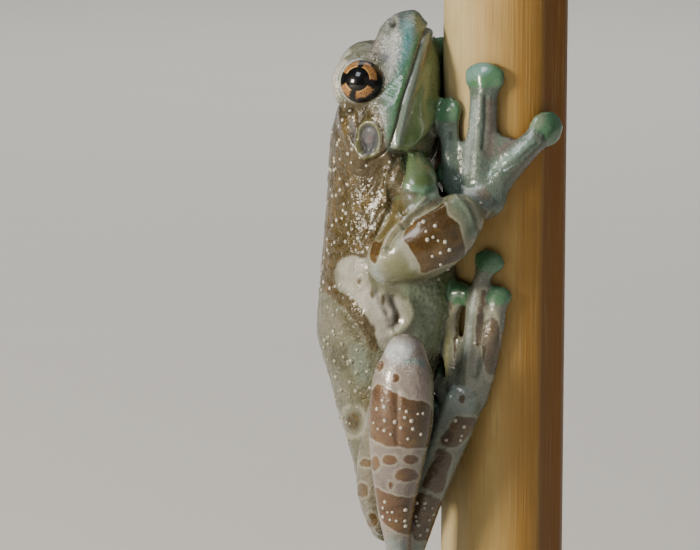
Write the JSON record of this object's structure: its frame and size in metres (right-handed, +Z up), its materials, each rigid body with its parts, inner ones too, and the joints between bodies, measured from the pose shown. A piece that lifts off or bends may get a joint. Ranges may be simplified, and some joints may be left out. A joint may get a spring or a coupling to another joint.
{
  "type": "amazon milk frog model",
  "caption": "Life-size still model of an amazon milk frog clinging head up to a cut length of bamboo, held by a short rod on a round flat display base.",
  "frame": {"origin": "centre of the display base's underside", "axes": "+Z up along the bamboo toward the frog's snout, -X out of the frog's back, -Y out of the frog's right side"},
  "size_m": [0.076, 0.076, 0.122],
  "materials": {
    "base_wood": "dark, satin varnish",
    "rod_steel": "fine brushed",
    "bamboo": "smooth dry bamboo skin",
    "skin_head": "moist, glossy skin",
    "skin_trunk": "moist, finely granular skin",
    "skin_limb": "moist, glossy skin",
    "skin_grip": "moist, glossy skin",
    "eye": "clear and wet"
  },
  "bodies": {
    "root": {"stand_base": "base_wood", "stand_rod": "rod_steel", "perch_bamboo": "bamboo", "head": "skin_head", "torso": "skin_trunk", "eye_right": "eye", "eye_left": "eye", "upper_arm_right": "skin_limb", "upper_arm_left": "skin_limb", "forearm_right": "skin_limb", "forearm_left": "skin_limb", "hand_right": "skin_grip", "hand_left": "skin_grip", "thigh_right": "skin_limb", "thigh_left": "skin_limb", "shank_right": "skin_limb", "shank_left": "skin_limb", "foot_right": "skin_grip", "foot_left": "skin_grip"}
  },
  "joints": []
}
